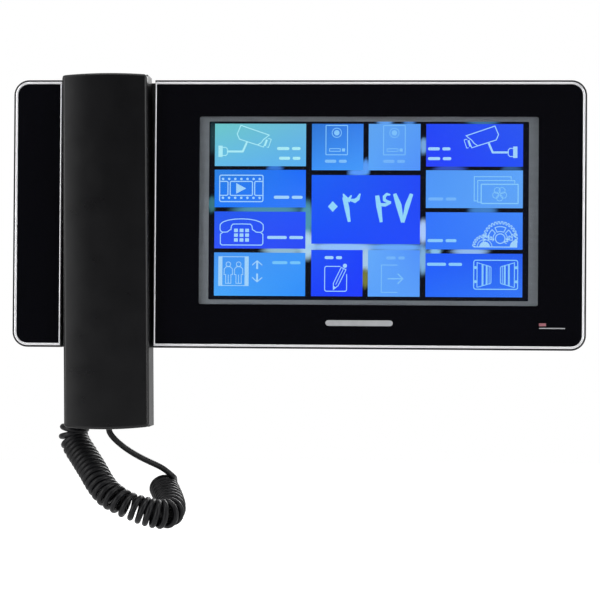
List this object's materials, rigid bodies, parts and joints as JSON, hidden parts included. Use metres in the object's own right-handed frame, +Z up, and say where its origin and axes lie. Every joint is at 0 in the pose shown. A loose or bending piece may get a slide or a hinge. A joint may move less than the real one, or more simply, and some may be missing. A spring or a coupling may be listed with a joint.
{
  "type": "video intercom monitor",
  "caption": "Wall-hung video intercom monitor with a touch display behind glossy black panels and a corded handset resting in a side channel.",
  "frame": {"origin": "centre of the wall bracket's back face, on the wall", "axes": "+X to the right along the body, +Y into the wall, +Z up; the display faces -Y"},
  "size_m": [0.282, 0.0456, 0.223],
  "materials": {
    "zinc_steel": "zinc plated",
    "housing_black": "satin moulded",
    "trim_silver": "polished",
    "panel_acrylic": "mirror gloss",
    "touch_glass": "clear",
    "light_red": "translucent",
    "rubber_black": "matte",
    "screw_steel": "plated",
    "bezel_steel": "satin",
    "display": "lit display",
    "diffuser": "satin",
    "flex_amber": "film",
    "connector_ivory": "moulded",
    "board_green": "solder mask",
    "chip_black": "matte epoxy",
    "capacitor_sleeve": "shrink sleeve",
    "ferrite": "matte",
    "cell_steel": "satin",
    "terminal_green": "moulded",
    "cone_paper": "paper",
    "plunger_grey": "moulded",
    "socket_black": "moulded",
    "plug_clear": "clear moulded",
    "handset_black": "satin, fine grain",
    "ballast_iron": "bare",
    "cord_black": "satin PVC"
  },
  "bodies": {
    "wall_bracket": {"wall_bracket": "zinc_steel"},
    "monitor": {"rear_housing": "housing_black", "front_frame": "housing_black", "trim_left": "trim_silver", "trim_right": "trim_silver", "panel_left": "panel_acrylic", "panel_right": "panel_acrylic", "touch_glass": "touch_glass", "light_pipe": "light_red", "cradle": "housing_black", "cradle_pads": "rubber_black", "cradle_screws": "screw_steel", "housing_screws": "screw_steel", "lcd_bezel": "bezel_steel", "lcd_cell": "display", "light_guide": "diffuser", "lcd_tray": "bezel_steel", "lcd_retainers": "zinc_steel", "retainer_screws": "screw_steel", "lcd_flex": "flex_amber", "flex_socket": "connector_ivory", "main_board": "board_green", "board_screws": "screw_steel", "power_led": "light_red", "processor": "chip_black", "memory_chips": "chip_black", "capacitors": "capacitor_sleeve", "inductors": "ferrite", "clock_cell": "cell_steel", "terminal_block": "terminal_green", "terminal_screws": "screw_steel", "wire_sockets": "connector_ivory", "speaker_basket": "zinc_steel", "speaker_cone": "cone_paper", "speaker_magnet": "ferrite", "power_switch": "zinc_steel", "hook_switch": "chip_black", "base_socket": "socket_black", "base_plug": "plug_clear", "cord_tail": "cord_black", "cord_coil": "cord_black"},
    "handset": {"handset_front": "handset_black", "handset_back": "handset_black", "handset_screws": "screw_steel", "handset_weight": "ballast_iron", "handset_board": "board_green", "ear_capsule": "cell_steel", "ear_gasket": "rubber_black", "mic_capsule": "cell_steel", "mic_boot": "rubber_black", "handset_socket": "socket_black", "handset_plug": "plug_clear", "cord_lead": "cord_black"},
    "hook_plunger": {"hook_plunger": "plunger_grey", "hook_spring": "screw_steel"},
    "power_slider": {"power_slider": "housing_black"}
  },
  "joints": [
    {"name": "monitor_lift", "type": "slide", "parent": "wall_bracket", "child": "monitor", "axis": [0, 0, 1], "range_m": [0, 0.006]},
    {"name": "handset_lift", "type": "slide", "parent": "monitor", "child": "handset", "axis": [0, -0.866, 0.5], "range_m": [0, 0.06]},
    {"name": "hook_travel", "type": "slide", "parent": "monitor", "child": "hook_plunger", "axis": [0, -1, 0], "range_m": [0, 0.003]},
    {"name": "power_slide", "type": "slide", "parent": "monitor", "child": "power_slider", "axis": [1, 0, 0], "range_m": [0, 0.003]}
  ],
  "couplings": [
    {"joint": "hook_travel", "follows": "handset_lift", "ratio": 0.05}
  ]
}
